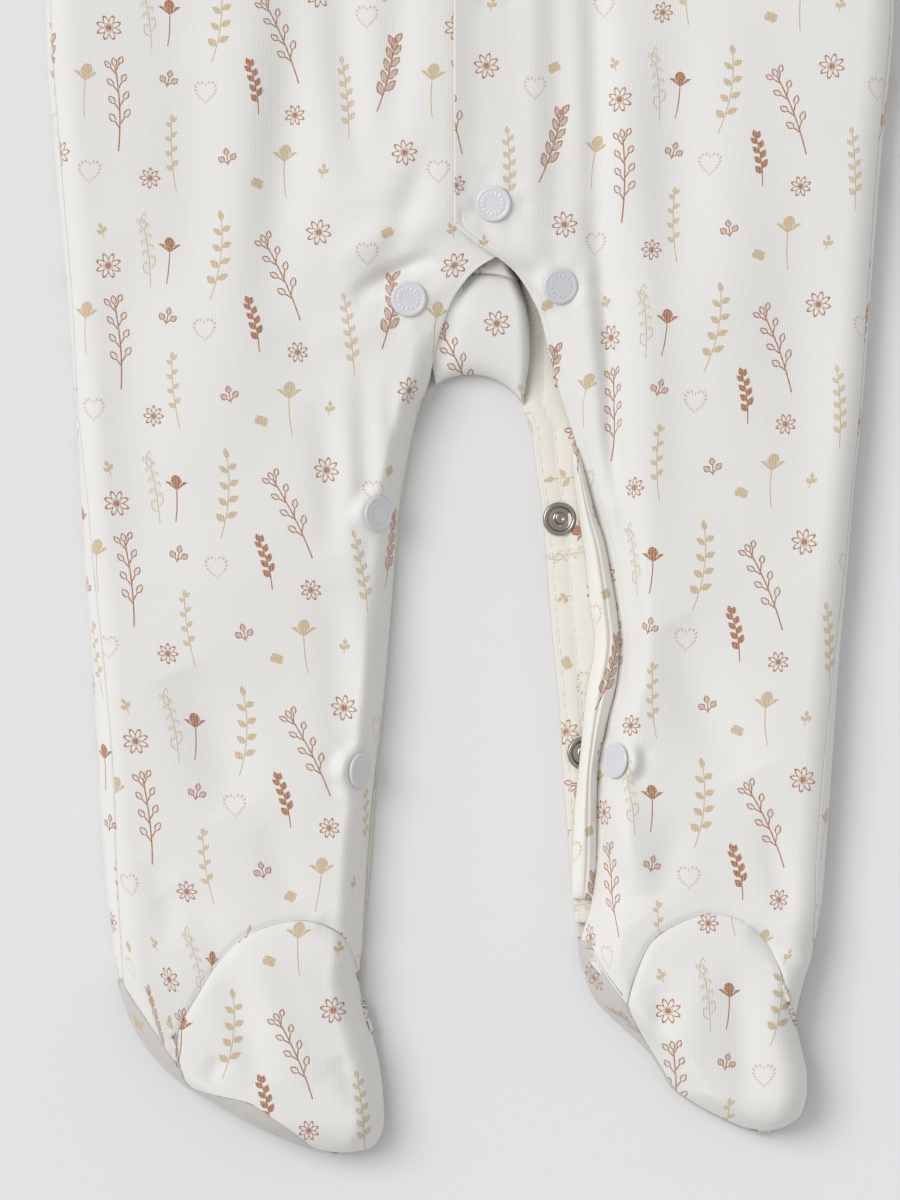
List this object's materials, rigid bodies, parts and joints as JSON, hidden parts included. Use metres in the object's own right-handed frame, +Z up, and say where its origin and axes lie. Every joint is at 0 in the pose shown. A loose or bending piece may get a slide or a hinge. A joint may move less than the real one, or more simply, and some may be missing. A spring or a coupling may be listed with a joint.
{
  "type": "footed baby sleepsuit",
  "caption": "Long-sleeved footed baby sleepsuit in printed cotton knit, laid flat on its back, snapped down the front and one leg, the other leg's inseam open.",
  "frame": {"origin": "centre of the garment's bounding box on the surface it lies on", "axes": "+Y towards the head, +X towards the wearer's left, +Z up from the surface, out of the front"},
  "size_m": [0.5388, 0.5714, 0.019],
  "materials": {
    "interlock": "off-white cotton interlock with a small brown and beige botanical print",
    "facing": "cream cotton interlock, print turned a quarter turn",
    "rib": "off-white folded rib",
    "snap_caps": "satin white enamel",
    "nickel": "bright nickel plate"
  },
  "bodies": {
    "root": {"back": "interlock", "front_right": "interlock", "front_left": "interlock", "sleeve_right": "interlock", "sleeve_left": "interlock", "crotch_tab": "interlock", "vamp_right": "interlock", "vamp_left": "interlock", "sole_right": "interlock", "sole_left": "interlock", "front_placket": "interlock", "back_placket": "facing", "neckband": "rib", "snap_cap_right_top": "snap_caps", "snap_cap_right_knee": "snap_caps", "snap_cap_right_shin": "snap_caps", "snap_cap_left_top": "snap_caps", "snap_cap_left_shin": "snap_caps", "snap_cap_front_1": "snap_caps", "snap_cap_front_2": "snap_caps", "snap_cap_front_3": "snap_caps", "snap_cap_front_4": "snap_caps", "stud_1": "nickel", "stud_2": "nickel"}
  },
  "joints": []
}
